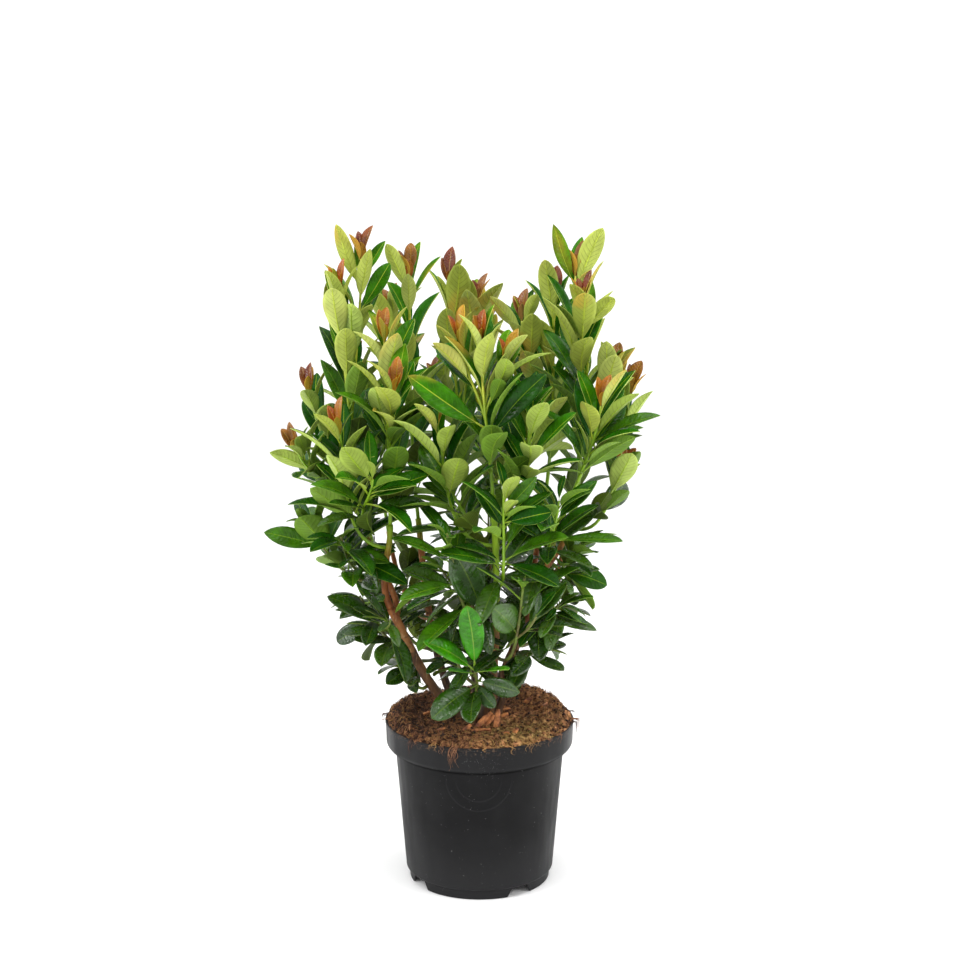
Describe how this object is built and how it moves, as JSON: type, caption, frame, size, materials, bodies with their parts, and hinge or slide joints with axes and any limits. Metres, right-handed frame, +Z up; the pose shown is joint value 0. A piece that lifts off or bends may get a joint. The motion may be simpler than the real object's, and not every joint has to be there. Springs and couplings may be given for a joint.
{
  "type": "potted cherry laurel shrub",
  "caption": "Bushy evergreen laurel shrub of several upright stems with bronze new tips, rooted in a round tapering nursery pot with a rim band and a notched foot.",
  "frame": {"origin": "middle of the pot's flat underside, on the pot's axis", "axes": "+Z up along the pot's axis, -Y towards the front that the picture shows"},
  "size_m": [0.5721, 0.4646, 0.99],
  "materials": {
    "pot": "matte charcoal, lightly scuffed",
    "soil": "moist fibrous peat",
    "bark": "thin smooth bark with leaf scars",
    "foliage": "glossy leathery leaves, paler below"
  },
  "bodies": {
    "root": {"pot": "pot", "soil": "soil", "stem_left": "bark", "bough_left_front": "bark", "bough_left_outer": "bark", "stem_back_left": "bark", "bough_back_left": "bark", "stem_centre_front": "bark", "stem_right": "bark", "bough_right_front": "bark", "bough_right_outer": "bark", "stem_back_right": "bark", "bough_back_right": "bark", "stem_centre_back": "bark", "stem_back": "bark", "stem_sprout": "bark", "foliage_front_sprout": "foliage", "foliage_foot_middle": "foliage", "foliage_centre_front": "foliage", "foliage_left_high": "foliage", "foliage_left_front": "foliage", "foliage_right_high": "foliage", "foliage_right_front": "foliage", "foliage_left_outer": "foliage", "foliage_left_middle": "foliage", "foliage_right_outer": "foliage", "foliage_back_left_high": "foliage", "foliage_centre_back": "foliage", "foliage_back_right_high": "foliage", "foliage_centre_left": "foliage", "foliage_centre_right": "foliage", "foliage_centre_middle": "foliage", "foliage_centre_low_left": "foliage", "foliage_centre_low_right": "foliage", "foliage_left_low_outer": "foliage", "foliage_left_low": "foliage", "foliage_left_foot": "foliage", "foliage_right_middle": "foliage", "foliage_right_low_outer": "foliage", "foliage_right_low": "foliage", "foliage_right_foot": "foliage", "foliage_back_left": "foliage", "foliage_back_right": "foliage", "foliage_back_centre": "foliage", "foliage_back_low_left": "foliage", "foliage_back_low_centre": "foliage", "foliage_back_low_right": "foliage", "foliage_middle": "foliage"}
  },
  "joints": []
}
